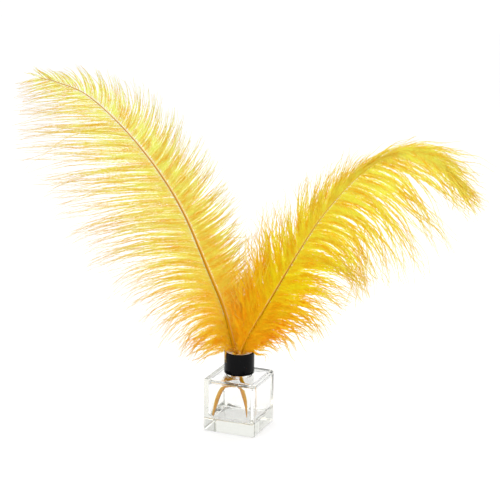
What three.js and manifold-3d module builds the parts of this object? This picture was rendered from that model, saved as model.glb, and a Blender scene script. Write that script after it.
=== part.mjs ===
// Two dyed ostrich plumes standing in a small square glass bottle with a black collar.
//
// Millimetres, +Z up. The origin is the middle of the bottle's flat underside, and the bottle's
// four sides face +X, -X, +Y and -Y. The plumes spread in a plane that is turned about Z from the
// bottle's front: inside the "plumes" group x runs along that plane, y runs back from it and z is up.
import * as THREE from "three";
import { mergeVertices } from "three/addons/utils/BufferGeometryUtils.js";
import Module from "manifold-3d";

// ---- Driving dimensions ----

const GAP = 0.3; // clearance between pieces that touch in the real object

const ROUND_SIDES = 40; // facets round a full turn

const CUT_OVERRUN = 1; // how far a cutting solid runs past the face that it opens

const BOTTLE = {
  width: 47.5,
  height: 47, // to the flat shoulder, without the neck
  cornerRadius: 2.2,
  edgeRadius: 1.4, // round of the shoulder's and the foot's edges
  wall: 3,
  floor: 9.5, // thick foot of the bottle
  shoulder: 3,
  cavityCorner: 8,
  cavityFillet: 4,
};

const NECK = { outer: 10.3, bore: 8.4, top: 64.6, lip: 0.8, root: 1.2 };

const COLLAR = { outer: 13.1, wall: 0.8, bottom: 49.2, top: 68.2, rimRound: 0.4 };

const LINER = { bottom: 50.2, top: 67.5, hole: 8.7, flange: 2.4 };

const PLUMES_TURN = 21.5; // degrees about Z, from the bottle's front to the plane of the plumes

const QUILL = {
  tipRadius: 0.7, // the pointed end that stood in the skin
  fullRadius: 1.8,
  pointLength: 18, // over which the pointed end widens to the full radius
  endRadius: 0.35, // at the feather's far tip
  sides: 8,
  steps: 52,
};

const VANE = {
  rootThickness: 1.6,
  edgeThickness: 1,
  rootGap: 0.5, // from the shaft's side, which its facets bring nearer in a bend
  stations: 34,
  segments: 7,
};

// A feather is its shaft's line, from the quill's end in the bottle to the feather's tip, the length
// of shaft that is bare, and two vanes. side is +1 for the vane to the right of the shaft, looking
// from its root to its tip, and -1 for the left one.
//
// Each row of a vane describes the barbs at one place:
//   [share of the vane's length, barb length, direction at the root, direction at the tip, lean]
// Directions are degrees from x towards z, and lean is how far the barb's tip turns towards -y.
const LEFT_FEATHER = {
  name: "left_feather",
  color: 0xf2b90f,
  bare: 62,
  shaft: [
    [7.9, -9.2, 10.6],
    [7.5, -7, 16.5],
    [6.6, -4.8, 22.5],
    [4.9, -2.9, 28.5],
    [2.6, -1.3, 36.5],
    [1.0, -0.4, 45],
    [-0.9, 1.0, 57],
    [-4.6, 2.2, 71.2],
    [-14.3, 4.2, 105.8],
    [-26.5, 6, 135.2],
    [-48, 9.5, 185.2],
    [-70.6, 11, 222.8],
    [-98.6, 10, 257.8],
    [-128.9, 5, 286.4],
    [-153.6, -3, 297.9],
    [-165.7, -8, 301.4],
  ],
  vanes: [
    {
      name: "outer_vane",
      side: -1,
      barbs: [
        [0.0, 34, 178, 208, 6],
        [0.05, 46, 166, 234, 8],
        [0.12, 68, 160, 232, 10],
        [0.23, 80, 166, 214, 12],
        [0.32, 90, 172, 204, 12],
        [0.41, 97, 178, 199, 12],
        [0.49, 98, 180, 192, 12],
        [0.64, 92, 178, 189, 12],
        [0.72, 80, 177, 187, 12],
        [0.8, 66, 180, 186, 12],
        [0.86, 52, 184, 192, 12],
        [0.95, 31, 188, 202, 10],
        [1.0, 17, 180, 192, 6],
      ],
    },
    {
      name: "inner_vane",
      side: 1,
      barbs: [
        [0.0, 24, 55, 80, -8],
        [0.05, 31, 45, 62, -10],
        [0.12, 38, 36, 58, -12],
        [0.23, 43, 30, 50, -14],
        [0.32, 44, 27, 46, -14],
        [0.41, 44, 32, 52, -14],
        [0.49, 44, 44, 60, -14],
        [0.56, 44, 49, 76, -14],
        [0.64, 43, 46, 92, -12],
        [0.72, 39, 50, 112, -10],
        [0.8, 32, 70, 122, -8],
        [0.86, 25, 95, 140, -6],
        [0.95, 17, 132, 160, -4],
        [1.0, 12, 150, 165, 0],
      ],
    },
  ],
};

const RIGHT_FEATHER = {
  name: "right_feather",
  color: 0xf5a80c,
  bare: 63,
  shaft: [
    [-22.0, -8.8, 11.2],
    [-19.9, -7.4, 20.5],
    [-17.2, -5.8, 29.5],
    [-13.0, -3.8, 36.8],
    [-5.6, -2.3, 43.4],
    [-3.2, -3.0, 50],
    [-2.4, -3.6, 57],
    [2.0, -3.6, 70],
    [7.8, -4.5, 83.6],
    [27.7, -7, 120.3],
    [49.4, -11, 160.8],
    [67.5, -15.5, 191.4],
    [89.9, -22, 220.3],
    [111.3, -29, 240.1],
    [130.2, -37, 250.2],
    [149.7, -46, 247.2],
    [164.4, -54, 233.3],
    [173, -60, 220.5],
  ],
  vanes: [
    {
      name: "inner_vane",
      side: -1,
      barbs: [
        [0.0, 33, 92, 88, 4],
        [0.05, 52, 98, 94, 5],
        [0.12, 66, 104, 98, 6],
        [0.195, 67, 104, 94, 6],
        [0.27, 60, 100, 92, 6],
        [0.355, 52, 98, 86, 6],
        [0.48, 45, 88, 66, 4],
        [0.55, 45, 72, 45, 4],
        [0.61, 46, 62, 20, 4],
        [0.713, 48, 42, -22, 4],
        [0.793, 56, 10, -36, 4],
        [0.868, 50, -6, -34, 4],
        [0.943, 36, -20, -36, 2],
        [1.0, 22, -32, -42, 0],
      ],
    },
    {
      name: "outer_vane",
      side: 1,
      barbs: [
        [0.0, 30, 22, -50, 6],
        [0.05, 42, 30, -70, 8],
        [0.12, 54, 26, -62, 10],
        [0.195, 58, 18, -34, 12],
        [0.27, 55, 12, -26, 12],
        [0.355, 64, 12, -62, 12],
        [0.48, 80, 8, -74, 12],
        [0.55, 90, 0, -72, 12],
        [0.61, 96, -6, -67, 12],
        [0.713, 87, -12, -54, 12],
        [0.793, 70, -20, -50, 12],
        [0.868, 48, -34, -52, 10],
        [0.943, 32, -44, -56, 6],
        [1.0, 18, -46, -54, 0],
      ],
    },
  ],
};

// ---- Solids from geometries, and back ----

const wasm = await Module();
wasm.setup();

// A closed geometry as a manifold-3d solid.
function solidOf(geometry) {
  const bare = new THREE.BufferGeometry()
    .setAttribute("position", geometry.getAttribute("position"))
    .setIndex(geometry.getIndex());
  const merged = mergeVertices(bare, 1e-4);
  return new wasm.Manifold(
    new wasm.Mesh({
      numProp: 3,
      vertProperties: merged.attributes.position.array,
      triVerts: new Uint32Array(merged.index.array),
    }),
  );
}

// A manifold-3d solid as a geometry.
function geometryOf(solid) {
  const mesh = solid.getMesh();
  const geometry = new THREE.BufferGeometry()
    .setAttribute("position", new THREE.BufferAttribute(mesh.vertProperties, 3))
    .setIndex(new THREE.BufferAttribute(mesh.triVerts, 1));
  geometry.computeVertexNormals();
  return geometry;
}

// ---- Shapes that several pieces use ----

// A square block with round upright corners and round edges, standing on z = 0.
function roundedBlock(width, height, cornerRadius, edgeRadius) {
  const half = width / 2 - edgeRadius;
  const radius = cornerRadius - edgeRadius;
  const outline = new THREE.Shape();
  outline.absarc(half - radius, half - radius, radius, 0, Math.PI / 2);
  outline.absarc(radius - half, half - radius, radius, Math.PI / 2, Math.PI);
  outline.absarc(radius - half, radius - half, radius, Math.PI, Math.PI * 1.5);
  outline.absarc(half - radius, radius - half, radius, Math.PI * 1.5, Math.PI * 2);
  const block = new THREE.ExtrudeGeometry(outline, {
    depth: height - 2 * edgeRadius,
    bevelThickness: edgeRadius,
    bevelSize: edgeRadius,
    bevelSegments: 3,
    curveSegments: 5,
  });
  return block.translate(0, 0, edgeRadius);
}

// A ring or a round plug about Z, from a profile of [radius, height] points that runs round its
// section with the solid on its left. A ring's profile closes on itself.
function turned(profile, closed = true) {
  const points = profile.map(([r, z]) => new THREE.Vector2(r, z));
  if (closed) points.push(points[0].clone());
  return new THREE.LatheGeometry(points, ROUND_SIDES).rotateX(Math.PI / 2);
}

// A tube of changing radius along a curve, with flat ends.
function taperedTube(curve, radiusAt, steps, sides) {
  const positions = [];
  const index = [];
  for (let i = 0; i <= steps; i++) {
    const share = i / steps;
    const centre = curve.getPointAt(share);
    const tangent = curve.getTangentAt(share);
    const across = new THREE.Vector3(0, 1, 0).cross(tangent).normalize();
    const deep = tangent.clone().cross(across);
    for (let k = 0; k < sides; k++) {
      const angle = (2 * Math.PI * k) / sides;
      const point = centre
        .clone()
        .addScaledVector(across, radiusAt(share) * Math.cos(angle))
        .addScaledVector(deep, radiusAt(share) * Math.sin(angle));
      positions.push(...point.toArray());
    }
  }
  for (let i = 0; i < steps; i++)
    for (let k = 0; k < sides; k++) {
      const a = i * sides + k;
      const b = i * sides + ((k + 1) % sides);
      index.push(a, b, b + sides, a, b + sides, a + sides);
    }
  for (let k = 1; k < sides - 1; k++) {
    const last = steps * sides;
    index.push(0, k + 1, k, last, last + k, last + k + 1);
  }
  return meshGeometry(positions, index);
}

function meshGeometry(positions, index) {
  const geometry = new THREE.BufferGeometry()
    .setAttribute("position", new THREE.Float32BufferAttribute(positions, 3))
    .setIndex(index);
  geometry.computeVertexNormals();
  return geometry;
}

// ---- Bottle ----

function bottleGeometry() {
  const { width, height, cornerRadius, edgeRadius, wall, floor, shoulder } = BOTTLE;
  const body = solidOf(roundedBlock(width, height, cornerRadius, edgeRadius));
  const neckFoot = height - edgeRadius;
  const neck = solidOf(
    turned(
      [
        [0, neckFoot],
        [NECK.outer + NECK.root, neckFoot],
        [NECK.outer + NECK.root, height],
        [NECK.outer, height + NECK.root],
        [NECK.outer, NECK.top - NECK.lip],
        [NECK.outer - NECK.lip / 2, NECK.top],
        [0, NECK.top],
      ],
      false,
    ),
  );
  const cavity = solidOf(
    roundedBlock(
      width - 2 * wall,
      height - shoulder - floor,
      BOTTLE.cavityCorner,
      BOTTLE.cavityFillet,
    ).translate(0, 0, floor),
  );
  const boreFoot = height - shoulder - CUT_OVERRUN;
  const bore = solidOf(
    turned(
      [
        [0, boreFoot],
        [NECK.bore, boreFoot],
        [NECK.bore, NECK.top + CUT_OVERRUN],
        [0, NECK.top + CUT_OVERRUN],
      ],
      false,
    ),
  );
  return geometryOf(body.add(neck).subtract(cavity).subtract(bore));
}

// ---- Collar, and the plastic liner that grips the neck inside it ----

function collarGeometry() {
  const { outer, wall, bottom, top, rimRound } = COLLAR;
  return turned([
    [outer - wall, bottom],
    [outer, bottom],
    [outer, top - rimRound],
    [outer - rimRound, top],
    [outer - wall, top],
  ]);
}

function linerGeometry() {
  const outer = COLLAR.outer - COLLAR.wall - GAP;
  const inner = NECK.outer + GAP;
  const underFlange = LINER.top - LINER.flange;
  return turned([
    [inner, LINER.bottom],
    [outer, LINER.bottom],
    [outer, LINER.top],
    [LINER.hole, LINER.top],
    [LINER.hole, underFlange],
    [inner, underFlange],
  ]);
}

// ---- Feathers ----

function shaftCurve(feather) {
  const points = feather.shaft.map((p) => new THREE.Vector3(...p));
  const curve = new THREE.CatmullRomCurve3(points, false, "catmullrom", 0.5);
  curve.arcLengthDivisions = 600;
  return curve;
}

// The shaft's radius at a share of its whole length: a pointed end, the full quill up to the
// vanes, and an even taper from there to the feather's tip.
function shaftRadius(feather, length, share) {
  const along = share * length;
  if (along < QUILL.pointLength) {
    const rise = Math.sin((Math.PI / 2) * (along / QUILL.pointLength));
    return THREE.MathUtils.lerp(QUILL.tipRadius, QUILL.fullRadius, rise);
  }
  const past = Math.max(0, (along - feather.bare) / (length - feather.bare));
  return THREE.MathUtils.lerp(QUILL.fullRadius, QUILL.endRadius, past);
}

function quillGeometry(feather) {
  const curve = shaftCurve(feather);
  const length = curve.getLength();
  return taperedTube(
    curve,
    (share) => shaftRadius(feather, length, share),
    QUILL.steps,
    QUILL.sides,
  );
}

// The barbs' [length, root direction, tip direction, lean] at a share of the vane's length.
function barbRow(rows, at) {
  const next = Math.max(
    1,
    rows.findIndex((row) => row[0] >= at),
  );
  const [before, after] = [rows[next - 1], rows[next]];
  const mix = (at - before[0]) / (after[0] - before[0]);
  return before.slice(1).map((value, i) => THREE.MathUtils.lerp(value, after[i + 1], mix));
}

// The middle line of the barb at a share of the vane's length: it leaves the shaft's side in the
// root direction and bends to the tip direction. A barb that runs along the shaft leans as it does.
function barbLine(feather, vane, curve, at) {
  const length = curve.getLength();
  const share = THREE.MathUtils.lerp(feather.bare / length, 1, at);
  const tangent = curve.getTangentAt(share);
  const inPlane = Math.hypot(tangent.x, tangent.z);
  const heading = Math.atan2(tangent.z, tangent.x);
  const [barbLength, rootDegrees, tipDegrees, leanDegrees] = barbRow(vane.barbs, at);
  const offset = shaftRadius(feather, length, share) + VANE.rootGap;
  const point = curve
    .getPointAt(share)
    .add(new THREE.Vector3(tangent.z, 0, -tangent.x).setLength(offset * vane.side));
  const line = [point.clone()];
  for (let j = 0; j < VANE.segments; j++) {
    const s = (j + 0.5) / VANE.segments;
    const angle = THREE.MathUtils.degToRad(THREE.MathUtils.lerp(rootDegrees, tipDegrees, s));
    const along = (Math.cos(angle - heading) * tangent.y) / inPlane;
    const lean = Math.tan(THREE.MathUtils.degToRad(leanDegrees * s));
    const step = new THREE.Vector3(Math.cos(angle), along - lean, Math.sin(angle));
    point.addScaledVector(step.normalize(), barbLength / VANE.segments);
    line.push(point.clone());
  }
  return line;
}

// A vane as one thin curved plate through its barbs' middle lines, thinner at their tips.
function vaneGeometry(feather, vane) {
  const curve = shaftCurve(feather);
  const lines = [];
  for (let i = 0; i < VANE.stations; i++)
    lines.push(barbLine(feather, vane, curve, i / (VANE.stations - 1)));
  const columns = VANE.segments + 1;
  const count = VANE.stations * columns;
  const positions = [];
  for (const face of [-1, 1])
    for (const line of lines)
      line.forEach((point, j) => {
        const thickness = THREE.MathUtils.lerp(
          VANE.rootThickness,
          VANE.edgeThickness,
          j / VANE.segments,
        );
        positions.push(point.x, point.y + (face * thickness) / 2, point.z);
      });
  const index = [];
  const quad = (a, b, c, d) =>
    vane.side > 0 ? index.push(a, b, c, a, c, d) : index.push(a, c, b, a, d, c);
  for (let i = 0; i < VANE.stations - 1; i++)
    for (let j = 0; j < VANE.segments; j++) {
      const a = i * columns + j;
      quad(a, a + 1, a + columns + 1, a + columns);
      quad(count + a, count + a + columns, count + a + columns + 1, count + a + 1);
    }
  for (let i = 0; i < VANE.stations - 1; i++) {
    const root = i * columns;
    const edge = root + VANE.segments;
    quad(root, root + columns, count + root + columns, count + root);
    quad(edge, count + edge, count + edge + columns, edge + columns);
  }
  const top = count - columns;
  for (let j = 0; j < VANE.segments; j++) {
    quad(j, count + j, count + j + 1, j + 1);
    quad(top + j, top + j + 1, count + top + j + 1, count + top + j);
  }
  return meshGeometry(positions, index);
}

// ---- The object ----

function piece(name, geometry, material) {
  const mesh = new THREE.Mesh(geometry, material);
  mesh.name = name;
  return mesh;
}

const glass = new THREE.MeshStandardMaterial({
  color: 0xf2f7f6,
  roughness: 0.02,
  metalness: 0,
  transparent: true,
  opacity: 0.3,
});
const blackAluminium = new THREE.MeshStandardMaterial({
  color: 0x0d0d0e,
  roughness: 0.28,
  metalness: 0.6,
});
const whitePlastic = new THREE.MeshStandardMaterial({ color: 0xe9e2dc, roughness: 0.45 });
const horn = new THREE.MeshStandardMaterial({ color: 0xc98a2b, roughness: 0.4 });

const object = new THREE.Group();
object.add(piece("bottle", bottleGeometry(), glass));
object.add(piece("collar", collarGeometry(), blackAluminium));
object.add(piece("collar_liner", linerGeometry(), whitePlastic));

const plumes = new THREE.Group();
plumes.rotation.z = THREE.MathUtils.degToRad(PLUMES_TURN);
for (const feather of [LEFT_FEATHER, RIGHT_FEATHER]) {
  const barbs = new THREE.MeshStandardMaterial({ color: feather.color, roughness: 0.8 });
  plumes.add(piece(`${feather.name}_quill`, quillGeometry(feather), horn));
  for (const vane of feather.vanes)
    plumes.add(piece(`${feather.name}_${vane.name}`, vaneGeometry(feather, vane), barbs));
}
object.add(plumes);

export default object;
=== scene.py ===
import math

import bmesh
import bpy
import numpy as np
from mathutils import Matrix, Vector


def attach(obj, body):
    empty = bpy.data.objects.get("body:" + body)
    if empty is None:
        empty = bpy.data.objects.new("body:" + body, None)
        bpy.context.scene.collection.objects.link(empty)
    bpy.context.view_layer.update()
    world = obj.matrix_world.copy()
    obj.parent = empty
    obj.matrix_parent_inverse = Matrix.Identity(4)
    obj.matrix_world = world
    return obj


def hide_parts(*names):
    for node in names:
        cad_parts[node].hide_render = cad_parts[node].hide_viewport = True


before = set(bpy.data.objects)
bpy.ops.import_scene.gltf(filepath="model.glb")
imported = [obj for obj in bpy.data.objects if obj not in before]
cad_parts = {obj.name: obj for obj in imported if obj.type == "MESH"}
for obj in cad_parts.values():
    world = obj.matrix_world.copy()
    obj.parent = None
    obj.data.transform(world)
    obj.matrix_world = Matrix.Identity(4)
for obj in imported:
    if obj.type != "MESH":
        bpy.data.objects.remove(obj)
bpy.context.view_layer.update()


# ---- Camera ----
# A long lens a little over a metre away, about 21 degrees round from the bottle's front and looking
# slightly down on its shoulder.
CAMERA_AZIMUTH = math.radians(21.5)
CAMERA_ELEVATION = math.radians(13.3)
CAMERA_ROLL = math.radians(0.8)
CAMERA_PLACE = Vector((0.010, 0.1533, 1.1))  # across, up and back, in the camera's own directions


def linked(name, data):
    """A new object in the scene that holds the mesh, camera or light."""
    made = bpy.data.objects.new(name, data)
    bpy.context.scene.collection.objects.link(made)
    return made


camera_data = bpy.data.cameras.new("camera")
camera_data.sensor_width = 36.0
camera_data.lens = 90.4
camera = linked("camera", camera_data)
camera_turn = (
    Matrix.Rotation(CAMERA_AZIMUTH, 4, "Z")
    @ Matrix.Rotation(math.pi / 2 - CAMERA_ELEVATION, 4, "X")
    @ Matrix.Rotation(CAMERA_ROLL, 4, "Z")
)
camera.matrix_world = Matrix.Translation(camera_turn @ CAMERA_PLACE) @ camera_turn
bpy.context.scene.camera = camera


# ---- Floor and light ----
# A white sweep that is also lit from below, under a white sky, with two big soft lamps. The sky is
# a little darker low down, and a grey card at each side gives clear glass its edges.
bpy.context.scene.view_settings.view_transform = "Standard"
bpy.context.scene.cycles.max_bounces = 64
bpy.context.scene.cycles.diffuse_bounces = 10
bpy.context.scene.cycles.transmission_bounces = 64
bpy.context.scene.cycles.glossy_bounces = 10

FLOOR_DROP = 0.0002  # the bottle's foot and the floor don't share a plane
FLOOR_SIZE = 12.0
FLOOR_TONE = 0.54
FLOOR_GLOW = 0.5
SKY_LOW = (0.84, 0.84, 0.85)
SKY_HIGH = (1.0, 1.0, 1.0)
SKY_TOP = 0.45  # height from which the sky has its upper colour, as a share of straight up
CARD_TONE = 0.4
CARD_START = 0.6  # where a card begins, as a share of the way to straight sideways
CARD_FULL = 0.8  # where it has its full tone
SKY_STRENGTH = 1.06


def mesh_object(name, shape, smooth=True):
    """A new object from a bmesh, with smooth or flat shading."""
    mesh = bpy.data.meshes.new(name)
    shape.to_mesh(mesh)
    shape.free()
    mesh.polygons.foreach_set("use_smooth", [smooth] * len(mesh.polygons))
    return linked(name, mesh)


def new_material(name):
    """A node material, with its node tree and its Principled shader."""
    material = bpy.data.materials.new(name)
    material.use_nodes = True
    tree = material.node_tree
    return material, tree, tree.nodes["Principled BSDF"]


floor_shape = bmesh.new()
bmesh.ops.create_grid(floor_shape, x_segments=1, y_segments=1, size=FLOOR_SIZE / 2)
bmesh.ops.translate(floor_shape, vec=(0, 0, -FLOOR_DROP), verts=floor_shape.verts)
floor = mesh_object("floor", floor_shape, smooth=False)
floor_white, tree, shader = new_material("floor_white")
shader.inputs["Base Color"].default_value = (FLOOR_TONE, FLOOR_TONE, FLOOR_TONE, 1)
shader.inputs["Roughness"].default_value = 0.9
shader.inputs["Specular IOR Level"].default_value = 0.1
shader.inputs["Emission Color"].default_value = (1, 1, 1, 1)
shader.inputs["Emission Strength"].default_value = FLOOR_GLOW
floor.data.materials.append(floor_white)


def soft_lamp(name, place, aim, size, power):
    """A square area lamp at a place, turned towards another."""
    data = bpy.data.lights.new(name, "AREA")
    data.shape = "SQUARE"
    data.size = size
    data.energy = power
    lamp = linked(name, data)
    towards = (Vector(aim) - Vector(place)).to_track_quat("-Z", "Y")
    lamp.matrix_world = Matrix.Translation(place) @ towards.to_matrix().to_4x4()


soft_lamp("key_lamp", place=(-0.7, -0.9, 1.5), aim=(0, 0, 0.15), size=1.2, power=10)
soft_lamp("rim_lamp", place=(0.5, 1.0, 1.3), aim=(0, 0, 0.15), size=1.2, power=7)


def ranged(tree, value, low, high, start=0.0, end=1.0):
    """A number that goes from low to high while the value goes from start to end."""
    node = tree.nodes.new("ShaderNodeMapRange")
    node.inputs["From Min"].default_value = start
    node.inputs["From Max"].default_value = end
    node.inputs["To Min"].default_value = low
    node.inputs["To Max"].default_value = high
    tree.links.new(value, node.inputs["Value"])
    return node.outputs[0]


def ramp(tree, value, stops):
    """A colour that runs through the stops, each a value and a colour."""
    node = tree.nodes.new("ShaderNodeValToRGB")
    elements = node.color_ramp.elements
    for k, (position, colour) in enumerate((stops[0], stops[-1])):
        elements[k].position = position
        elements[k].color = (*colour, 1)
    for position, colour in stops[1:-1]:
        elements.new(position).color = (*colour, 1)
    tree.links.new(value, node.inputs[0])
    return node.outputs[0]


def mixed(tree, share, first, second, blend="MIX"):
    """The first colour, with a share of the second laid over it, which may be a plain colour."""
    node = tree.nodes.new("ShaderNodeMix")
    node.data_type = "RGBA"
    node.blend_type = blend
    tree.links.new(share, node.inputs["Factor"])
    tree.links.new(first, node.inputs["A"])
    if isinstance(second, tuple):
        node.inputs["B"].default_value = (*second, 1)
    else:
        tree.links.new(second, node.inputs["B"])
    return node.outputs["Result"]


def scaled(tree, colour, share):
    """The colour times a number."""
    node = tree.nodes.new("ShaderNodeVectorMath")
    node.operation = "SCALE"
    tree.links.new(colour, node.inputs[0])
    tree.links.new(share, node.inputs["Scale"])
    return node.outputs[0]


sky = bpy.data.worlds.new("studio")
sky.use_nodes = True
bpy.context.scene.world = sky
tree = sky.node_tree
direction = tree.nodes.new("ShaderNodeTexCoord")
height = tree.nodes.new("ShaderNodeSeparateXYZ")
tree.links.new(direction.outputs["Generated"], height.inputs[0])
by_height = ramp(tree, height.outputs["Z"], ((0.0, SKY_LOW), (SKY_TOP, SKY_HIGH)))
turned = tree.nodes.new("ShaderNodeVectorRotate")
turned.rotation_type = "Z_AXIS"
turned.inputs["Angle"].default_value = -CAMERA_AZIMUTH
tree.links.new(direction.outputs["Generated"], turned.inputs["Vector"])
sideways = tree.nodes.new("ShaderNodeSeparateXYZ")
tree.links.new(turned.outputs[0], sideways.inputs[0])
either_side = tree.nodes.new("ShaderNodeMath")
either_side.operation = "ABSOLUTE"
tree.links.new(sideways.outputs["X"], either_side.inputs[0])
cards = ranged(tree, either_side.outputs[0], 1.0, CARD_TONE, CARD_START, CARD_FULL)
seen = tree.nodes.new("ShaderNodeLightPath")
behind = mixed(tree, seen.outputs["Is Camera Ray"], scaled(tree, by_height, cards), SKY_HIGH)
background = tree.nodes["Background"]
tree.links.new(behind, background.inputs["Color"])
background.inputs["Strength"].default_value = SKY_STRENGTH


# ---- Bottle ----
# A small square bottle of clear glass, pressed in a mould: a thick foot, walls of about 3 mm, a
# cavity with well rounded corners, and a plain round neck for the collar. It stands loose.
SIDE_POINTS = 23  # points along a quarter of each ring

BOTTLE_HALF = 0.02375
BOTTLE_HEIGHT = 0.047
BOTTLE_CORNER = 0.0022
BOTTLE_EDGE = 0.0014
FACE_CORNER = 0.001  # corners of the flat stretch inside the rounded edges
EDGE_MARGIN = 0.0004  # a row of points this far from a rounding keeps the flat beside it flat
CAVITY_HALF = 0.02075
CAVITY_CORNER = 0.0045
CAVITY_SHOULDER = 0.003  # fillet under the ceiling
CAVITY_FOOT = 0.006  # fillet above the floor, whose outline is nearly a circle
FLOOR_CORNER = 0.0145
FLOOR_RISE = 0.0006  # the floor is a little higher in its middle
CAVITY_FLOOR = 0.0095
CAVITY_CEILING = 0.044
NECK_OUTER = 0.0103
NECK_BORE = 0.0084
NECK_TOP = 0.0646
NECK_ROOT = 0.0012  # fillet between the shoulder and the neck
NECK_LIP = 0.0005


def square_ring(half, corner, z):
    """Points of a square with round corners, seen from above, anticlockwise from +X."""
    flat = half - corner
    shares = (0, 0.4, 0.8, 0.97)
    quarter = [(half, flat * s) for s in shares]
    turns = SIDE_POINTS - 2 * len(shares) + 1
    for i in range(turns):
        angle = math.pi / 2 * i / (turns - 1)
        quarter.append((flat + corner * math.cos(angle), flat + corner * math.sin(angle)))
    quarter += [(flat * s, half) for s in reversed(shares[1:])]
    ring = []
    for side in range(4):
        ring += [(x, y, z) for x, y in quarter]
        quarter = [(-y, x) for x, y in quarter]
    return ring


def round_ring(radius, z):
    """As many points as a square ring has, on a circle."""
    count = 4 * SIDE_POINTS
    angles = [2 * math.pi * i / count for i in range(count)]
    return [(radius * math.cos(a), radius * math.sin(a), z) for a in angles]


def first_ring(shape, points):
    """A closed ring of vertices and edges."""
    ring = [shape.verts.new(p) for p in points]
    for a, b in zip(ring, ring[1:] + ring[:1]):
        shape.edges.new((a, b))
    return ring


def next_ring(shape, ring, points):
    """Extrudes a closed ring, and moves the new ring's vertices to the points."""
    edges = [shape.edges.get((a, b)) for a, b in zip(ring, ring[1:] + ring[:1])]
    made = bmesh.ops.extrude_edge_only(shape, edges=edges)["geom"]
    fresh = {v for v in made if isinstance(v, bmesh.types.BMVert)}
    grown = [next(e.other_vert(v) for e in v.link_edges if e.other_vert(v) in fresh) for v in ring]
    for vertex, point in zip(grown, points):
        vertex.co = point
    return grown


def loft(rings):
    """A closed skin through rings of points, with a flat face on its first and last ring."""
    shape = bmesh.new()
    ring = first = first_ring(shape, rings[0])
    for points in rings[1:]:
        ring = next_ring(shape, ring, points)
    bmesh.ops.contextual_create(shape, geom=first)
    bmesh.ops.contextual_create(shape, geom=ring)
    bmesh.ops.recalc_face_normals(shape, faces=shape.faces)
    return shape


def quarter_turn(steps, start, end):
    """Angles from start to end degrees, both included, in radians."""
    return [math.radians(start + (end - start) * i / steps) for i in range(steps + 1)]


def noise(tree, vector, scale, detail):
    """A noise texture over the places that the vector gives."""
    node = tree.nodes.new("ShaderNodeTexNoise")
    node.inputs["Scale"].default_value = scale
    node.inputs["Detail"].default_value = detail
    tree.links.new(vector, node.inputs["Vector"])
    return node.outputs[0]


bottle_rings = [square_ring(BOTTLE_HALF - 2 * BOTTLE_EDGE, FACE_CORNER, 0)]
for angle in quarter_turn(6, -90, 0):
    inset = BOTTLE_EDGE * (1 - math.cos(angle))
    z = BOTTLE_EDGE * (1 + math.sin(angle))
    bottle_rings.append(square_ring(BOTTLE_HALF - inset, BOTTLE_CORNER - inset, z))
lowest, highest = BOTTLE_EDGE + EDGE_MARGIN, BOTTLE_HEIGHT - BOTTLE_EDGE - EDGE_MARGIN
for z in (lowest, BOTTLE_HEIGHT / 2, highest):
    bottle_rings.append(square_ring(BOTTLE_HALF, BOTTLE_CORNER, z))
for angle in quarter_turn(6, 0, 90):
    inset = BOTTLE_EDGE * (1 - math.cos(angle))
    z = BOTTLE_HEIGHT - BOTTLE_EDGE * (1 - math.sin(angle))
    bottle_rings.append(square_ring(BOTTLE_HALF - inset, BOTTLE_CORNER - inset, z))
bottle_rings.append(
    square_ring(BOTTLE_HALF - BOTTLE_EDGE - EDGE_MARGIN, FACE_CORNER, BOTTLE_HEIGHT)
)
bottle_rings.append(round_ring(NECK_OUTER + 2 * NECK_ROOT, BOTTLE_HEIGHT))
for angle in quarter_turn(4, -90, -180):
    radius = NECK_OUTER + NECK_ROOT * (1 + math.cos(angle))
    bottle_rings.append(round_ring(radius, BOTTLE_HEIGHT + NECK_ROOT * (1 + math.sin(angle))))
for angle in quarter_turn(4, 0, 90):
    radius = NECK_OUTER - NECK_LIP * (1 - math.cos(angle))
    bottle_rings.append(round_ring(radius, NECK_TOP - NECK_LIP * (1 - math.sin(angle))))
for angle in quarter_turn(4, 90, 180):
    radius = NECK_BORE + NECK_LIP * (1 + math.cos(angle))
    bottle_rings.append(round_ring(radius, NECK_TOP - NECK_LIP * (1 - math.sin(angle))))
for angle in quarter_turn(4, 180, 270):
    radius = NECK_BORE + NECK_LIP * (1 + math.cos(angle))
    bottle_rings.append(round_ring(radius, CAVITY_CEILING + NECK_LIP * (1 + math.sin(angle))))
bottle_rings.append(round_ring(NECK_BORE + 3 * NECK_LIP, CAVITY_CEILING))
for angle in quarter_turn(8, 90, 0):
    inset = CAVITY_SHOULDER * (1 - math.cos(angle))
    z = CAVITY_CEILING - CAVITY_SHOULDER * (1 - math.sin(angle))
    bottle_rings.append(square_ring(CAVITY_HALF - inset, CAVITY_CORNER - inset, z))
for angle in quarter_turn(10, 0, -90):
    inset = CAVITY_FOOT * (1 - math.cos(angle))
    corner = CAVITY_CORNER + (FLOOR_CORNER - CAVITY_CORNER) * (1 - math.cos(angle))
    z = CAVITY_FLOOR + CAVITY_FOOT * (1 + math.sin(angle))
    bottle_rings.append(square_ring(CAVITY_HALF - inset, corner, z))
for share in (0.8, 0.5, 0.2):
    rise = FLOOR_RISE * math.cos(math.pi / 2 * share) ** 2
    reach = (CAVITY_HALF - CAVITY_FOOT) * share
    bottle_rings.append(square_ring(reach, FLOOR_CORNER * share, CAVITY_FLOOR + rise))
bottle = mesh_object("glass_bottle", loft(bottle_rings))

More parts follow.
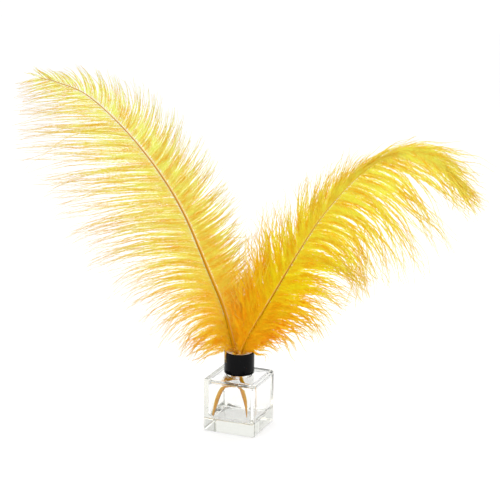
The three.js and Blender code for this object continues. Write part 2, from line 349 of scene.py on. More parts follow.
clear_glass, tree, shader = new_material("clear_glass")
shader.inputs["Base Color"].default_value = (0.99, 0.995, 0.99, 1)
shader.inputs["Roughness"].default_value = 0.0
shader.inputs["IOR"].default_value = 1.5
shader.inputs["Transmission Weight"].default_value = 1.0
place = tree.nodes.new("ShaderNodeTexCoord")
waves = noise(tree, place.outputs["Object"], scale=60.0, detail=1.0)
ripple = tree.nodes.new("ShaderNodeBump")
ripple.inputs["Strength"].default_value = 0.25
ripple.inputs["Distance"].default_value = 0.0006
tree.links.new(waves, ripple.inputs["Height"])
tree.links.new(ripple.outputs[0], shader.inputs["Normal"])
tint = tree.nodes.new("ShaderNodeVolumeAbsorption")
tint.inputs["Color"].default_value = (0.4, 0.42, 0.2, 1)
tint.inputs["Density"].default_value = 5.0
tree.links.new(tint.outputs[0], tree.nodes["Material Output"].inputs["Volume"])
bottle.data.materials.append(clear_glass)
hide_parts("bottle")
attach(bottle, "root")


# ---- Collar ----
# A sleeve spun from thin aluminium sheet and anodised glossy black, pressed over the plastic insert
# on the neck. Its upper rim is rolled inwards.
COLLAR_OUTER = 0.0131
COLLAR_WALL = 0.0008
COLLAR_BOTTOM = 0.0492
COLLAR_TOP = 0.0682
COLLAR_ROLL = 0.0003
TURN_STEPS = 96


def turned_piece(name, profile):
    """A ring about Z, spun from its section's points, given as radius and height in order."""
    shape = bmesh.new()
    section = [shape.verts.new((r, 0, z)) for r, z in profile]
    edges = [shape.edges.new(pair) for pair in zip(section, section[1:] + section[:1])]
    bmesh.ops.spin(
        shape,
        geom=section + edges,
        axis=(0, 0, 1),
        cent=(0, 0, 0),
        angle=2 * math.pi,
        steps=TURN_STEPS,
        use_merge=True,
    )
    bmesh.ops.remove_doubles(shape, verts=shape.verts, dist=1e-6)
    bmesh.ops.recalc_face_normals(shape, faces=shape.faces)
    return mesh_object(name, shape)


def softened(corners, radius, steps=3):
    """A closed outline with a small round at each of its corners, and a point just beyond both
    ends of each round, which keeps the flats between them flat."""
    outline = []
    for i, (r, z) in enumerate(corners):
        corner = Vector((r, z))
        back = Vector(corners[i - 1]) - corner
        ahead = Vector(corners[(i + 1) % len(corners)]) - corner
        reach = min(radius, back.length * 0.45, ahead.length * 0.45)
        start = corner + back.normalized() * reach
        end = corner + ahead.normalized() * reach
        outline.append(start + back.normalized() * reach * 0.2)
        for step in range(steps + 1):
            s = step / steps
            outline.append(start * (1 - s) ** 2 + corner * 2 * s * (1 - s) + end * s**2)
        outline.append(end + ahead.normalized() * reach * 0.2)
    return [tuple(p) for p in outline]


collar_section = softened(
    [
        (COLLAR_OUTER - COLLAR_WALL, COLLAR_BOTTOM),
        (COLLAR_OUTER, COLLAR_BOTTOM),
        (COLLAR_OUTER, COLLAR_TOP),
        (COLLAR_OUTER - 1.5 * COLLAR_WALL, COLLAR_TOP),
        (COLLAR_OUTER - 1.5 * COLLAR_WALL, COLLAR_TOP - COLLAR_WALL / 2),
        (COLLAR_OUTER - COLLAR_WALL, COLLAR_TOP - COLLAR_WALL),
    ],
    COLLAR_ROLL,
)
collar = turned_piece("black_collar", collar_section)

black_anodised, tree, shader = new_material("black_anodised")
shader.inputs["Specular IOR Level"].default_value = 0.08
place = tree.nodes.new("ShaderNodeTexCoord")
drawn = tree.nodes.new("ShaderNodeMapping")
drawn.inputs["Scale"].default_value = (900, 900, 60)
tree.links.new(place.outputs["Object"], drawn.inputs["Vector"])
grain = noise(tree, drawn.outputs[0], scale=1.0, detail=3.0)
tone = ramp(tree, grain, ((0.0, (0.0015, 0.0015, 0.002)), (1.0, (0.0035, 0.0035, 0.004))))
tree.links.new(tone, shader.inputs["Base Color"])
tree.links.new(ranged(tree, grain, 0.12, 0.18), shader.inputs["Roughness"])
collar.data.materials.append(black_anodised)
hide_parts("collar")
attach(collar, "root")


# ---- Insert ----
# A moulded ring of off-white plastic inside the collar. It grips the neck and covers its rim with
# a flange, through whose hole the quills pass.
INSERT_OUTER = 0.0120
INSERT_INNER = 0.0106
INSERT_BOTTOM = 0.0502
INSERT_TOP = 0.0675
INSERT_HOLE = 0.0087
INSERT_FLANGE = 0.0024
INSERT_ROUND = 0.0004
insert_section = softened(
    [
        (INSERT_INNER, INSERT_BOTTOM),
        (INSERT_OUTER, INSERT_BOTTOM),
        (INSERT_OUTER, INSERT_TOP),
        (INSERT_HOLE, INSERT_TOP),
        (INSERT_HOLE, INSERT_TOP - INSERT_FLANGE),
        (INSERT_INNER, INSERT_TOP - INSERT_FLANGE),
    ],
    INSERT_ROUND,
)
insert = turned_piece("collar_insert", insert_section)

insert_plastic, tree, shader = new_material("insert_plastic")
shader.inputs["Subsurface Weight"].default_value = 0.1
shader.inputs["Subsurface Scale"].default_value = 0.002
place = tree.nodes.new("ShaderNodeTexCoord")
speckle = noise(tree, place.outputs["Object"], scale=700.0, detail=2.0)
tone = ramp(tree, speckle, ((0.0, (0.70, 0.62, 0.56)), (1.0, (0.86, 0.80, 0.75))))
tree.links.new(tone, shader.inputs["Base Color"])
tree.links.new(ranged(tree, speckle, 0.38, 0.52), shader.inputs["Roughness"])
insert.data.materials.append(insert_plastic)
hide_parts("collar_liner")
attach(insert, "root")


# ---- Shafts ----
# Each plume's shaft is one curved horn-like stem. Its hollow quill, pointed where it stood in the
# skin, stands in the bottle, and above the collar it tapers, with a groove down its front.
PLUMES_TURN = math.radians(21.5)  # from the bottle's front to the plane of the plumes, about Z

QUILL_POINT = 0.0007
QUILL_RADIUS = 0.0018
QUILL_POINT_LENGTH = 0.018
SHAFT_END = 0.0003
SHAFT_TAPER = 0.8  # below 1, most of the taper is in the shaft's lower half
SLIM_START = 0.04  # length of shaft at which it may start to get slimmer
SLIM_SPAN = 0.035  # and the length over which it does

LINE_STEPS = 60  # between two points of a line
NEAR = 2e-4  # a line's direction is taken between the places this far ahead and back

# The line of each shaft, in millimetres: x along the plumes' plane, y back from it, z up.
LEFT_LINE = [
    (7.9, -9.2, 10.6),
    (7.5, -7, 16.5),
    (6.6, -4.8, 22.5),
    (4.9, -2.9, 28.5),
    (2.6, -1.3, 36.5),
    (1.0, -0.4, 45),
    (-0.9, 1.0, 57),
    (-4.6, 2.2, 71.2),
    (-14.3, 4.2, 105.8),
    (-26.5, 6, 135.2),
    (-48, 9.5, 185.2),
    (-70.6, 11, 222.8),
    (-98.6, 10, 257.8),
    (-128.9, 5, 286.4),
    (-153.6, -3, 297.9),
    (-165.7, -8, 301.4),
]
LEFT_BARE = 0.062  # length of shaft below the first barbs
LEFT_SLIMNESS = 0.0  # how much thinner the shaft is above the collar, as a share of its radius
RIGHT_LINE = [
    (-22.0, -8.8, 11.2),
    (-19.9, -7.4, 20.5),
    (-17.2, -5.8, 29.5),
    (-13.0, -3.8, 36.8),
    (-5.6, -2.3, 43.4),
    (-3.2, -3.0, 50),
    (-2.4, -3.6, 57),
    (2.0, -3.6, 70),
    (7.8, -4.5, 83.6),
    (27.7, -7, 120.3),
    (49.4, -11, 160.8),
    (67.5, -15.5, 191.4),
    (89.9, -22, 220.3),
    (111.3, -29, 240.1),
    (130.2, -37, 250.2),
    (149.7, -46, 247.2),
    (164.4, -54, 233.3),
    (173, -60, 220.5),
]
RIGHT_BARE = 0.063
RIGHT_SLIMNESS = 0.36


def unit(vectors):
    """The vectors, each made one long."""
    return vectors / np.linalg.norm(vectors, axis=-1, keepdims=True)


class Shaft:
    """A smooth line through points given in millimetres, measured in metres along itself."""

    def __init__(self, points, bare, slimness):
        p = np.array(points) / 1000
        p = np.vstack([2 * p[0] - p[1], p, 2 * p[-1] - p[-2]])
        w = np.linspace(0, 1, LINE_STEPS, endpoint=False)[:, None]
        spans = []
        for a, b, c, d in zip(p, p[1:], p[2:], p[3:]):
            start, end = (c - a) / 2, (d - b) / 2
            bend = -3 * b + 3 * c - 2 * start - end
            spans.append(b + start * w + bend * w**2 + (2 * b - 2 * c + start + end) * w**3)
        self.points = np.vstack(spans + [p[-2:-1]])
        steps = np.linalg.norm(np.diff(self.points, axis=0), axis=1)
        self.travel = np.concatenate([[0], np.cumsum(steps)])
        self.length = self.travel[-1]
        self.bare = bare
        self.slimness = slimness

    def at(self, lengths):
        """Places on the line, that far along it."""
        return np.stack([np.interp(lengths, self.travel, self.points[:, k]) for k in range(3)], -1)

    def heading(self, lengths):
        """The line's directions, as unit vectors."""
        ahead = self.at(np.minimum(lengths + NEAR, self.length))
        back = self.at(np.maximum(lengths - NEAR, 0))
        return unit(ahead - back)

    def radius(self, lengths):
        """The shaft's radius, that far along it."""
        point = np.sin(np.pi / 2 * np.clip(lengths / QUILL_POINT_LENGTH, 0, 1))
        taper = np.clip((lengths - self.bare) / (self.length - self.bare), 0, 1)
        quill = QUILL_POINT + (QUILL_RADIUS - QUILL_POINT) * point
        waist = 1 - self.slimness * np.clip((lengths - SLIM_START) / SLIM_SPAN, 0, 1)
        taper = taper**SHAFT_TAPER
        return waist * np.where(taper > 0, QUILL_RADIUS + (SHAFT_END - QUILL_RADIUS) * taper, quill)


def into_frame(points):
    """Points of the plumes' plane, turned about Z into the bottle's frame."""
    c, s = math.cos(PLUMES_TURN), math.sin(PLUMES_TURN)
    x, y, z = points[..., 0], points[..., 1], points[..., 2]
    return np.stack([x * c - y * s, x * s + y * c, z], -1)


SHAFT_SIDES = 14
SHAFT_STEPS = 150
SHAFT_FRONT = 0.75  # of a turn, from the first point of each ring to the shaft's front
PAINTED_HIGHLIGHT_SIDE = 0.22  # of a turn, from the front to the side with the painted highlight
GROOVE_DEPTH = 0.28  # share of the radius
GROOVE_WIDTH = 0.5  # radians
GROOVE_START = 0.02  # length over which the groove deepens

# Tones of a shaft's dark side with its painted shade, its front, and its pale side with its painted
# highlight.
QUILL_TONES = ((0.42, 0.15, 0.01), (0.98, 0.43, 0.01), (1.0, 0.64, 0.06))
STEM_TONES = ((0.18, 0.06, 0.0), (0.60, 0.26, 0.0), (0.97, 0.64, 0.17))  # above the collar
PEACH_TONES = ((0.38, 0.16, 0.03), (0.72, 0.40, 0.08), (0.95, 0.72, 0.36))
GOLD_TONES = ((0.80, 0.50, 0.03), (0.95, 0.72, 0.06), (0.97, 0.86, 0.2))


def shaft_piece(name, shaft, side):
    """The shaft's skin, lofted through rings. Its UV map is the turn from the side that carries its
    painted highlight, which is to the right (side 1) or the left (side -1) seen from the front, and the
    length."""
    lengths = np.linspace(0, shaft.length, SHAFT_STEPS + 1)
    centres, ahead, radii = shaft.at(lengths), shaft.heading(lengths), shaft.radius(lengths)
    angles = 2 * np.pi * np.arange(SHAFT_SIDES) / SHAFT_SIDES
    grooved = np.clip((lengths - shaft.bare) / GROOVE_START, 0, 1)
    from_groove = (angles - 2 * np.pi * SHAFT_FRONT) / GROOVE_WIDTH
    rings = []
    for centre, tangent, radius, share in zip(centres, ahead, radii, grooved):
        across = np.cross((0, 1, 0), tangent)
        across /= np.linalg.norm(across)
        deep = np.cross(tangent, across)
        dent = 1 - share * GROOVE_DEPTH * np.exp(-(from_groove**2))
        out = np.cos(angles)[:, None] * across + np.sin(angles)[:, None] * deep
        rings.append(into_frame(centre + (radius * dent)[:, None] * out).tolist())
    shape = loft(rings)
    uv = shape.loops.layers.uv.new("OFBake")
    shape.verts.index_update()
    for face in shape.faces:
        turns = [loop.vert.index % SHAFT_SIDES for loop in face.loops]
        wraps = max(turns) - min(turns) > SHAFT_SIDES / 2
        for loop, turn in zip(face.loops, turns):
            turn += SHAFT_SIDES if wraps and turn < SHAFT_SIDES / 2 else 0
            step = loop.vert.index // SHAFT_SIDES
            from_front = (turn / SHAFT_SIDES - SHAFT_FRONT) * side
            loop[uv].uv = (from_front - PAINTED_HIGHLIGHT_SIDE, step / SHAFT_STEPS)
    return mesh_object(name, shape)


def painted_light_across_shaft(tree, painted_light_span, tones):
    """The tones from a shaft's dark side, with its painted shade, over its front, to its pale side, with
    its painted highlight.
    """
    dark, front, pale = tones
    return ramp(tree, painted_light_span, ((0.1, dark), (0.26, front), (0.78, front), (0.96, pale)))


def horn_material(name, upper_tones):
    """Dyed horn: paler where it's a hollow quill, and streaked lengthwise, with painted shade down one
    side and a painted highlight down the other.
    It has the upper tones near the tip."""
    material, tree, shader = new_material(name)
    nodes, links = tree.nodes, tree.links
    shader.inputs["Specular IOR Level"].default_value = 0.02
    surface = nodes.new("ShaderNodeUVMap")
    surface.uv_map = "OFBake"
    parts = nodes.new("ShaderNodeSeparateXYZ")
    links.new(surface.outputs[0], parts.inputs[0])
    turned = nodes.new("ShaderNodeMath")
    turned.operation = "MULTIPLY"
    turned.inputs[1].default_value = 2 * math.pi
    links.new(parts.outputs["X"], turned.inputs[0])
    facing = nodes.new("ShaderNodeMath")
    facing.operation = "COSINE"
    links.new(turned.outputs[0], facing.inputs[0])
    # The way each point of the skin turns gives its painted shade or painted highlight, the same from
    # every view.
    painted_light_span = ranged(tree, facing.outputs[0], 0.0, 1.0, start=-1.0)
    tone = painted_light_across_shaft(tree, painted_light_span, QUILL_TONES)
    for tones, start, end in ((STEM_TONES, 0.1, 0.2), (upper_tones, 0.4, 0.85)):
        reached = ranged(tree, parts.outputs["Y"], 0.0, 1.0, start, end)
        tone = mixed(tree, reached, tone, painted_light_across_shaft(tree, painted_light_span, tones))
    stretched = nodes.new("ShaderNodeMapping")
    stretched.inputs["Scale"].default_value = (14, 30, 1)
    links.new(surface.outputs[0], stretched.inputs["Vector"])
    streaks = noise(tree, stretched.outputs[0], scale=1.0, detail=4.0)
    streaked = scaled(tree, tone, ranged(tree, streaks, 0.7, 1.15))
    links.new(streaked, shader.inputs["Base Color"])
    links.new(ranged(tree, streaks, 0.45, 0.65), shader.inputs["Roughness"])
    return material


left_shaft = Shaft(LEFT_LINE, LEFT_BARE, LEFT_SLIMNESS)
right_shaft = Shaft(RIGHT_LINE, RIGHT_BARE, RIGHT_SLIMNESS)
for name, shaft, side, tones, node in (
    ("left_shaft", left_shaft, 1, PEACH_TONES, "left_feather_quill"),
    ("right_shaft", right_shaft, -1, GOLD_TONES, "right_feather_quill"),
):
    horn = horn_material(name + "_horn", tones)
    piece = shaft_piece(name, shaft, side)
    piece.data.materials.append(horn)
    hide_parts(node)
    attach(piece, "root")


# ---- Vanes ----
# Each side of a shaft carries a row of long soft barbs, and each barb a fringe of loose barbules.
# Nothing hooks them together, so they hang in locks that part towards their tips.

# One row for each place along the vane: share of the vane's length, barb length in millimetres,
# direction at the root and at the tip in degrees from x towards z, and lean towards -y in degrees.
LEFT_OUTER = [
    (0.0, 34, 178, 208, 6),
    (0.05, 46, 166, 234, 8),
    (0.12, 68, 160, 232, 10),
    (0.23, 80, 166, 214, 12),
    (0.32, 90, 172, 204, 12),
    (0.41, 97, 178, 199, 12),
    (0.49, 98, 180, 192, 12),
    (0.64, 92, 178, 189, 12),
    (0.72, 80, 177, 187, 12),
    (0.8, 66, 180, 186, 12),
    (0.86, 52, 184, 192, 12),
    (0.95, 31, 188, 202, 10),
    (1.0, 17, 180, 192, 6),
]
LEFT_INNER = [
    (0.0, 24, 55, 80, -8),
    (0.05, 31, 45, 62, -10),
    (0.12, 38, 36, 58, -12),
    (0.23, 43, 30, 50, -14),
    (0.32, 44, 27, 46, -14),
    (0.41, 44, 32, 52, -14),
    (0.49, 44, 44, 60, -14),
    (0.56, 44, 49, 76, -14),
    (0.64, 43, 46, 92, -12),
    (0.72, 39, 50, 112, -10),
    (0.8, 32, 70, 122, -8),
    (0.86, 25, 95, 140, -6),
    (0.95, 17, 132, 160, -4),
    (1.0, 12, 150, 165, 0),
]
RIGHT_INNER = [
    (0.0, 33, 92, 88, -14),
    (0.05, 52, 98, 94, -10),
    (0.12, 66, 104, 98, 4),
    (0.195, 67, 104, 94, 6),
    (0.27, 60, 100, 92, 6),
    (0.355, 52, 98, 86, 6),
    (0.48, 45, 88, 66, 4),
    (0.55, 45, 72, 45, 4),
    (0.61, 46, 62, 20, 4),
    (0.713, 48, 42, -22, 4),
    (0.793, 56, 10, -36, 4),
    (0.868, 50, -6, -34, 4),
    (0.943, 36, -20, -36, 2),
    (1.0, 22, -32, -42, 0),
]
RIGHT_OUTER = [
    (0.0, 30, 22, -50, 6),
    (0.05, 42, 30, -70, 8),
    (0.12, 54, 26, -62, 10),
    (0.195, 58, 18, -34, 12),
    (0.27, 55, 12, -26, 12),
    (0.355, 64, 12, -62, 12),
    (0.48, 80, 8, -74, 12),
    (0.55, 90, 0, -72, 12),
    (0.61, 96, -6, -67, 12),
    (0.713, 87, -12, -54, 12),
    (0.793, 70, -20, -50, 12),
    (0.868, 48, -34, -52, 10),
    (0.943, 32, -44, -56, 6),
    (1.0, 18, -46, -54, 0),
]

BARB_POINTS = 14  # along each barb
BARB_RADIUS = 0.00018
BARB_TIP_RADIUS = 0.00009
BARBS_PER_VANE = 460
LONGEST_BARB = 1.17  # as a share of its row's length
SLIVERS_PER_VANE = 155000  # barbules, each one thin triangle
BARB_ROOT = 0.8  # of the shaft's radius, so that a barb starts inside its skin
FLUFF_FADE = 0.15  # share of a vane over which its barbs turn from downy to silky
LONG_SHARE = 0.12  # barbs that are longer than their neighbours
STRAY_SHARE = 0.06  # barbs that part from their lock
SWAY = 0.0014  # reach of the waves in a barb as long as the next value
SWAY_LENGTH = 0.08
BARBULE_REACH = 0.0044
BARBULE_LIMIT = 0.12  # of its barb's length
BARBULE_END = 0.985  # of its barb's length, beyond which there are none
BARBULE_ANGLE = 25  # degrees from the barb
DOWNY_ANGLE = 18  # degrees more in down
FEWEST_BARBULES = 12  # on a barb
PAINTED_STREAK_SHADE = (0.99, 0.74, 0.22)  # painted shade over random streaks, for the shadows between strands


def barb_lines(shaft, side, rows, bends, count, rng, lock_size, clump, disorder):
    """Middle lines of a vane's barbs, count x BARB_POINTS x 3, their lengths and their fluff, which
    is 0 for silky barbs and 1 for the downy ones at the vane's foot. The bends are those of the
    vane's foot and top: with more bend, more of a barb's turn is near its root. Disorder 1 is
    that of well kept barbs."""
    rows = np.array(rows, float)
    at = np.sort((np.arange(count) + rng.uniform(0, 1, count)) / count)
    at = 0.8 * at + 0.2 * at**8  # the barbs are sparser at the plume's tip
    length, root, tip, lean = (np.interp(at, rows[:, 0], rows[:, k]) for k in (1, 2, 3, 4))
    # Lengths differ from lock to lock and from barb to barb.
    lock = np.cumsum(rng.random(count) < 1 / lock_size)
    locks = lock[-1] + 1
    uneven = 1 + disorder**2 * rng.normal(0, 0.05, locks)[lock]
    uneven *= rng.normal(0.98, 0.1, count)
    uneven *= np.where(rng.random(count) < LONG_SHARE, rng.uniform(1.1, 1.3, count), 1)
    length = length / 1000 * np.clip(uneven, 0.6, LONGEST_BARB)
    # So do directions, most of all at the vane's foot and at its tip.
    fluff = np.exp(-at / FLUFF_FADE)
    loose = disorder * (1 + at**4 + 1.5 * fluff)
    root = np.radians(root + loose * rng.normal(0, 3, count))
    turned = 4.5 * rng.normal(0, 1, locks)[lock] + 4 * rng.normal(0, 1, count)
    tip = np.radians(tip + loose * turned)
    bend = bends[0] + (bends[1] - bends[0]) * np.clip(at / 0.4, 0, 1)
    lean = lean + rng.normal(0, 4, locks)[lock] + rng.normal(0, 1, count) * (4 + 6 * fluff)
    lean = np.radians(lean)
    stray = rng.random(count) < STRAY_SHARE
    tip = np.where(stray, tip + np.radians(rng.normal(0, 20, count)), tip)

    # Each barb is followed from its root: it turns in the plumes' plane and leans more and more.
    along = shaft.bare + (shaft.length - shaft.bare) * at
    tangent = shaft.heading(along)
    in_plane = np.hypot(tangent[:, 0], tangent[:, 2])
    heading = np.arctan2(tangent[:, 2], tangent[:, 0])
    out = np.stack([tangent[:, 2], np.zeros(count), -tangent[:, 0]], -1) / in_plane[:, None]
    point = shaft.at(along) + side * out * (shaft.radius(along) * BARB_ROOT)[:, None]
    lines = [point]
    for j in range(BARB_POINTS - 1):
        s = (j + 0.5) / (BARB_POINTS - 1)
        angle = root + (tip - root) * (1 - (1 - s) ** bend)
        rise = np.cos(angle - heading) * tangent[:, 1] / in_plane - np.tan(lean * s)
        step = unit(np.stack([np.cos(angle), rise, np.sin(angle)], -1))
        point = point + step * (length / (BARB_POINTS - 1))[:, None]
        lines.append(point)
    lines = np.stack(lines, 1)

    # The barbs of a lock, but for strays, draw together towards their tips.
    s = np.linspace(0, 1, BARB_POINTS)
    middles = np.stack([lines[lock == k].mean(0) if k in lock else lines[0] for k in range(locks)])
    clump = clump * np.clip(0.3 + at / 0.35, 0, 1) * rng.uniform(0.4, 1.2, locks)[lock]
    pull = clump[:, None] * np.clip(s / 0.7, 0, 1) ** 1.2
    pull = np.where(stray[:, None], 0, pull)[..., None]
    lines = lines * (1 - pull) + middles[lock] * pull
    return swayed(lines, length * disorder * (1 + 1.5 * fluff), (root + tip) / 2, rng), length, fluff


def swayed(lines, length, angle, rng):
    """The lines with a gentle wave that grows towards their tips."""
    count = len(lines)
    s = np.linspace(0, 1, BARB_POINTS)
    phase = rng.uniform(0, 2 * np.pi, (count, 2))
    waves = rng.uniform(0.8, 2.4, (count, 2))
    reach = SWAY * s**1.3 * (length / SWAY_LENGTH)[:, None]
    across = np.stack([-np.sin(angle), np.zeros(count), np.cos(angle)], -1)[:, None, :]
    lines[..., 1] += 1.6 * reach * np.sin(2 * np.pi * waves[:, :1] * s + phase[:, :1])
    return lines + (reach * np.sin(2 * np.pi * waves[:, 1:] * s + phase[:, 1:]))[..., None] * across


def barb_tubes(lines):
    """A three-sided tapering tube along each line, as vertices, quads and UVs."""
    count = len(lines)
    tangent = unit(np.gradient(lines, axis=1))
    across = unit(np.cross(tangent, (0.0, 1.0, 0.0)))
    deep = np.cross(across, tangent)
    s = np.linspace(0, 1, BARB_POINTS)
    radius = (BARB_RADIUS + (BARB_TIP_RADIUS - BARB_RADIUS) * s)[None, :, None, None]
    turn = np.radians([30, 150, 270])
    out = np.cos(turn)[:, None] * across[:, :, None, :] + np.sin(turn)[:, None] * deep[:, :, None, :]
    vertices = (lines[:, :, None, :] + radius * out).reshape(-1, 3)
    b, j, k = np.meshgrid(np.arange(count), np.arange(BARB_POINTS - 1), np.arange(3), indexing="ij")
    a = (b * BARB_POINTS + j) * 3 + k
    c = (b * BARB_POINTS + j) * 3 + (k + 1) % 3
    quads = np.stack([a, c, c + 3, a + 3], -1).reshape(-1, 4)
    left = (b + 0.25 + k / 6) / count
    right = (b + 0.25 + (k + 1) / 6) / count
    low, high = s[j], s[j + 1]
    uvs = np.stack([left, low, right, low, right, high, left, high], -1).reshape(-1, 2)
    return vertices, quads, uvs


def barbules(lines, length, fluff, slivers, width, rng):
    """Thin triangles that leave each barb forwards on both sides, as vertices, faces and UVs.
    They're long and close near the shaft, and short near the barb's tip."""
    count = len(lines)
    share = length * (1 + 2 * fluff)
    number = np.maximum(FEWEST_BARBULES, (slivers * share / share.sum()).astype(int))
    barb = np.repeat(np.arange(count), number)
    total = len(barb)
    fluff = fluff[barb]
    s = rng.random(total) ** 0.95 * BARBULE_END
    place = s * (BARB_POINTS - 1)
    j = np.minimum(place.astype(int), BARB_POINTS - 2)
    w = (place - j)[:, None]
    root = lines[barb, j] * (1 - w) + lines[barb, j + 1] * w
    ahead = unit(lines[barb, j + 1] - lines[barb, j])
    across = unit(np.cross(ahead, (0.0, 1.0, 0.0)))
    deep = np.cross(across, ahead)
    turn = np.where(rng.random(total) < 0.5, 0, np.pi) + rng.normal(0, 0.6, total)
    sideways = np.cos(turn)[:, None] * across + np.sin(turn)[:, None] * deep
    open_angle = (BARBULE_ANGLE + DOWNY_ANGLE * fluff) * (1 - 0.65 * s) * rng.normal(1, 0.3, total)
    open_angle = np.radians(np.clip(open_angle, 4, 75))
    way = np.cos(open_angle)[:, None] * ahead + np.sin(open_angle)[:, None] * sideways
    reach = BARBULE_REACH * (1 + 0.4 * fluff) * (1.05 - s) ** 1.2 * rng.uniform(0.5, 1.3, total)
    reach = np.minimum(reach, length[barb] * BARBULE_LIMIT)
    flat = unit(np.cross(way, deep))
    roll = rng.normal(0, 0.6, total)[:, None]
    edge = np.cos(roll) * flat + np.sin(roll) * unit(np.cross(way, flat))
    half = width / 2 * rng.uniform(0.7, 1.3, total)[:, None]
    vertices = np.stack([root - edge * half, root + edge * half, root + way * reach[:, None]], 1)
    faces = np.arange(total * 3).reshape(-1, 3)
    u = (barb + rng.uniform(0.1, 0.8, total)) / count
    du = 0.1 / count
    rise = np.minimum(reach / length[barb] * 0.8, 1 - s) + 1e-4
    uvs = np.stack([u, s, u + du, s, u + du / 2, s + rise], -1).reshape(-1, 2)
    return vertices.reshape(-1, 3), faces, uvs


def fibre_object(name, batches):
    """One mesh from batches of vertices, faces and UVs, turned into the bottle's frame."""
    vertices = np.concatenate([b[0] for b in batches])
    shifts = np.cumsum([0] + [len(b[0]) for b in batches[:-1]])
    corners = np.concatenate([(b[1] + shift).ravel() for b, shift in zip(batches, shifts)])
    sizes = np.concatenate([np.full(len(b[1]), b[1].shape[1]) for b in batches])
    mesh = bpy.data.meshes.new(name)
    mesh.vertices.add(len(vertices))
    mesh.vertices.foreach_set("co", into_frame(vertices).astype(np.float32).ravel())
    mesh.loops.add(len(corners))
    mesh.loops.foreach_set("vertex_index", corners.astype(np.int32))
    mesh.polygons.add(len(sizes))
    mesh.polygons.foreach_set("loop_start", np.concatenate([[0], np.cumsum(sizes)[:-1]]).astype(np.int32))
    mesh.polygons.foreach_set("use_smooth", np.ones(len(sizes), bool))
    uv = mesh.uv_layers.new(name="OFBake")
    uv.data.foreach_set("uv", np.concatenate([b[2] for b in batches]).astype(np.float32).ravel())
    mesh.update(calc_edges=True)
    mesh.validate()
    return linked(name, mesh)


def dyed_barbs(name, base, middle, top, tips):
    """Silky dyed fibre that lets light through. The colour runs along the plume and each barb, with
    painted shade over random streaks.
    """
    material, tree, shader = new_material(name)
    nodes, links = tree.nodes, tree.links
    shader.inputs["Roughness"].default_value = 0.55
    shader.inputs["Specular IOR Level"].default_value = 0.12
    strips = nodes.new("ShaderNodeUVMap")
    strips.uv_map = "OFBake"
    parts = nodes.new("ShaderNodeSeparateXYZ")
    links.new(strips.outputs[0], parts.inputs[0])
    along_plume = ramp(tree, parts.outputs["X"], ((0.0, base), (0.3, middle), (0.9, top)))
    tipped = mixed(tree, ranged(tree, parts.outputs["Y"], 0.0, 0.75, start=0.45), along_plume, tips)
    stretched = nodes.new("ShaderNodeMapping")
    stretched.inputs["Scale"].default_value = (BARBS_PER_VANE / 2.5, 2.5, 1)
    links.new(strips.outputs[0], stretched.inputs["Vector"])
    uneven = noise(tree, stretched.outputs[0], scale=1.0, detail=3.0)
    # Random streaks a few barbs wide take a deeper orange. This is painted shade for the shadows between
    # strands.
    painted_streak_shade = ranged(tree, uneven, 0.0, 1.0, start=0.45, end=0.63)
    dyed = mixed(tree, painted_streak_shade, tipped, PAINTED_STREAK_SHADE, blend="MULTIPLY")
    links.new(dyed, shader.inputs["Base Color"])
    glow = nodes.new("ShaderNodeBsdfTranslucent")
    links.new(dyed, glow.inputs["Color"])
    both = nodes.new("ShaderNodeMixShader")
    both.inputs[0].default_value = 0.5
    links.new(shader.outputs[0], both.inputs[1])
    links.new(glow.outputs[0], both.inputs[2])
    links.new(both.outputs[0], nodes["Material Output"].inputs["Surface"])
    return material


left_outer_dye = dyed_barbs(
    "left_outer_dye",
    base=(1.0, 0.83, 0.03),
    middle=(0.99, 0.96, 0.2),
    top=(0.985, 0.98, 0.3),
    tips=(0.94, 0.78, 0.52),
)
left_inner_dye = dyed_barbs(
    "left_inner_dye",
    base=(1.0, 0.80, 0.015),
    middle=(0.985, 0.95, 0.2),
    top=(0.97, 0.99, 0.38),
    tips=(0.92, 0.90, 0.42),
)
right_dye = dyed_barbs(
    "right_dye",
    base=(1.0, 0.75, 0.02),
    middle=(0.995, 0.96, 0.03),
    top=(0.99, 0.985, 0.22),
    tips=(0.96, 0.86, 0.24),
)
for name, shaft, side, rows, bends, lock_size, clump, disorder, width, dye, seed in (
    ("left_outer", left_shaft, -1, LEFT_OUTER, (1.6, 1.0), 3, 0.5, 1.0, 0.00019, left_outer_dye, 11),
    ("left_inner", left_shaft, 1, LEFT_INNER, (1.0, 1.0), 5, 0.35, 1.0, 0.00022, left_inner_dye, 12),
    ("right_inner", right_shaft, -1, RIGHT_INNER, (1.0, 1.0), 5, 0.3, 1.7, 0.00026, right_dye, 13),
    ("right_outer", right_shaft, 1, RIGHT_OUTER, (0.5, 1.7), 5, 0.35, 1.7, 0.00040, right_dye, 14),
):
    rng = np.random.default_rng(seed)
    lines, length, fluff = barb_lines(
        shaft, side, rows, bends, BARBS_PER_VANE, rng, lock_size, clump, disorder
    )
    fringes = barbules(lines, length, fluff, SLIVERS_PER_VANE, width, rng)
    plume, part = name.split("_")
    piece = fibre_object(name + "_barbs", [barb_tubes(lines), fringes])
    piece.data.materials.append(dye)
    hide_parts(f"{plume}_feather_{part}_vane")
    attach(piece, "root")


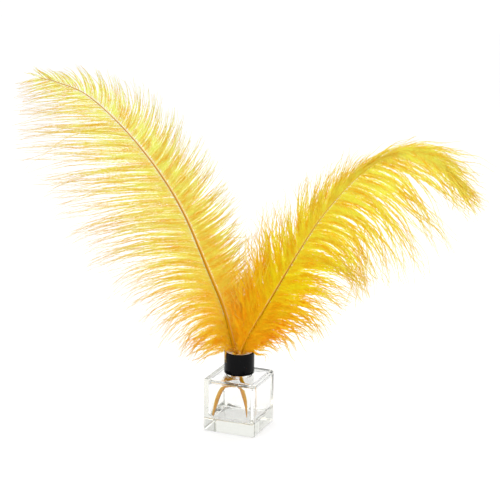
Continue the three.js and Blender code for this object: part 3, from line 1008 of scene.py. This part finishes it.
# ---- Down ----
# Below its vanes each shaft carries short downy barbs that point every way. They fill the neck and
# spill over the collar's rim at the feet of the plumes.
DOWN_BARBS = 300
DOWN_SLIVERS = 40000
DOWN_BARBULE_WIDTH = 0.00018
DOWN_SHORTEST = 0.010
DOWN_LONGEST = 0.026
DOWN_TONE = 0.04  # share of the plume's colours, from its foot, that the down has
RIM_LENGTH = 0.0605  # length of shaft below the collar's rim
RIM_SPREAD = 0.01  # down from the last stretch below the rim spreads over it
BELOW_RIM = 0.6  # share of their length that barbs below the rim have
INWARD_SHARE = 0.25  # barbs that point to the other side of their shaft
INWARD = 0.4  # share of their length that those have
DOWN_ROOM = 0.0076  # the neck presses the down together to this radius
DOWN_FREE = 0.0665  # height above which it spreads out again
DOWN_SPREAD = 4  # growth of that radius with each step up from there
CEILING_GAP = 0.0005  # it's also free in the cavity, from this far below the ceiling
# A lock of the left plume hangs over the rim: points in millimetres, as for the shafts.
HANGING_BARB = [
    (-4.4, 1.6, 70),
    (-8.0, -3.4, 72.8),
    (-10.8, -6.6, 71.8),
    (-11.9, -6.8, 67.6),
    (-12.2, -6.6, 63.6),
    (-12.0, -6.6, 59.6),
]
HANGING_BARBS = 5


def down_lines(shaft, side, low, high, rng):
    """Middle lines of downy barbs between two lengths of the shaft, and their lengths. In the neck
    they're short and point forwards, and at its rim they spread over it."""
    count = DOWN_BARBS
    along = rng.uniform(low, high, count)
    inside = along < RIM_LENGTH
    at_rim = inside & (along > RIM_LENGTH - RIM_SPREAD)
    length = rng.uniform(DOWN_SHORTEST, DOWN_LONGEST, count) * np.where(inside, BELOW_RIM, 1)
    inward = rng.random(count) < INWARD_SHARE
    length = length * np.where(inward, INWARD, 1)
    way = rng.normal(0, 0.8, count) + np.where(inward, np.pi, 0)
    way = np.where(inside, rng.uniform(-np.pi, np.pi, count), way)
    way = np.where(at_rim, -np.abs(way), way)  # over the front of the rim
    back = np.where(inside, np.sin(way), 0.6 * np.abs(np.sin(way)))
    rise = np.radians(rng.uniform(30, 70, count) - 25 * at_rim)
    droop = np.radians(rng.uniform(0, 60, count) * (1 - inside))
    sideways = np.stack([side * np.cos(way), back, np.zeros(count)], -1)
    forwards = np.where(inside[:, None], shaft.heading(along), (0.0, 0.0, 1.0))
    point = shaft.at(along)
    lines = [point]
    for j in range(BARB_POINTS - 1):
        s = (j + 0.5) / (BARB_POINTS - 1)
        up = rise - droop * s
        step = np.cos(up)[:, None] * sideways + np.sin(up)[:, None] * forwards
        point = point + unit(step) * (length / (BARB_POINTS - 1))[:, None]
        lines.append(point)
    lines = swayed(np.stack(lines, 1), length * 1.6, rise, rng)
    # The neck's bore holds the down together.
    height = lines[..., 2]
    room = DOWN_ROOM + DOWN_SPREAD * np.maximum(0, height - DOWN_FREE)
    room = np.where(height < CAVITY_CEILING - CEILING_GAP, CAVITY_HALF, room)
    spread = np.hypot(lines[..., 0], lines[..., 1])
    lines[..., :2] *= np.minimum(1, room / spread)[..., None]
    return lines, length


for name, shaft, side, low, high, dye, slot, seed in (
    ("left_down", left_shaft, -1, 0.033, 0.080, left_outer_dye, "left_barbs", 21),
    ("right_down", right_shaft, 1, 0.029, 0.085, right_dye, "right_barbs", 22),
):
    rng = np.random.default_rng(seed)
    lines, length = down_lines(shaft, side, low, high, rng)
    if shaft is left_shaft:
        hanging = Shaft(HANGING_BARB, 0, 0)
        shares = np.linspace(0, 1, BARB_POINTS)
        spread = rng.normal(0, 0.0004, (HANGING_BARBS, 1, 3)) * shares[:, None]
        lines[:HANGING_BARBS] = hanging.at(hanging.length * shares) + spread
        length[:HANGING_BARBS] = hanging.length
    fluff = np.where(np.arange(DOWN_BARBS) < HANGING_BARBS, 0.0, 1.0)
    fringes = barbules(lines, length, fluff, DOWN_SLIVERS, DOWN_BARBULE_WIDTH, rng)
    tubes = barb_tubes(lines)
    for batch in (tubes, fringes):
        batch[2][:, 0] *= DOWN_TONE
    piece = fibre_object(name, [tubes, fringes])
    piece.data.materials.append(dye)
    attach(piece, "root")
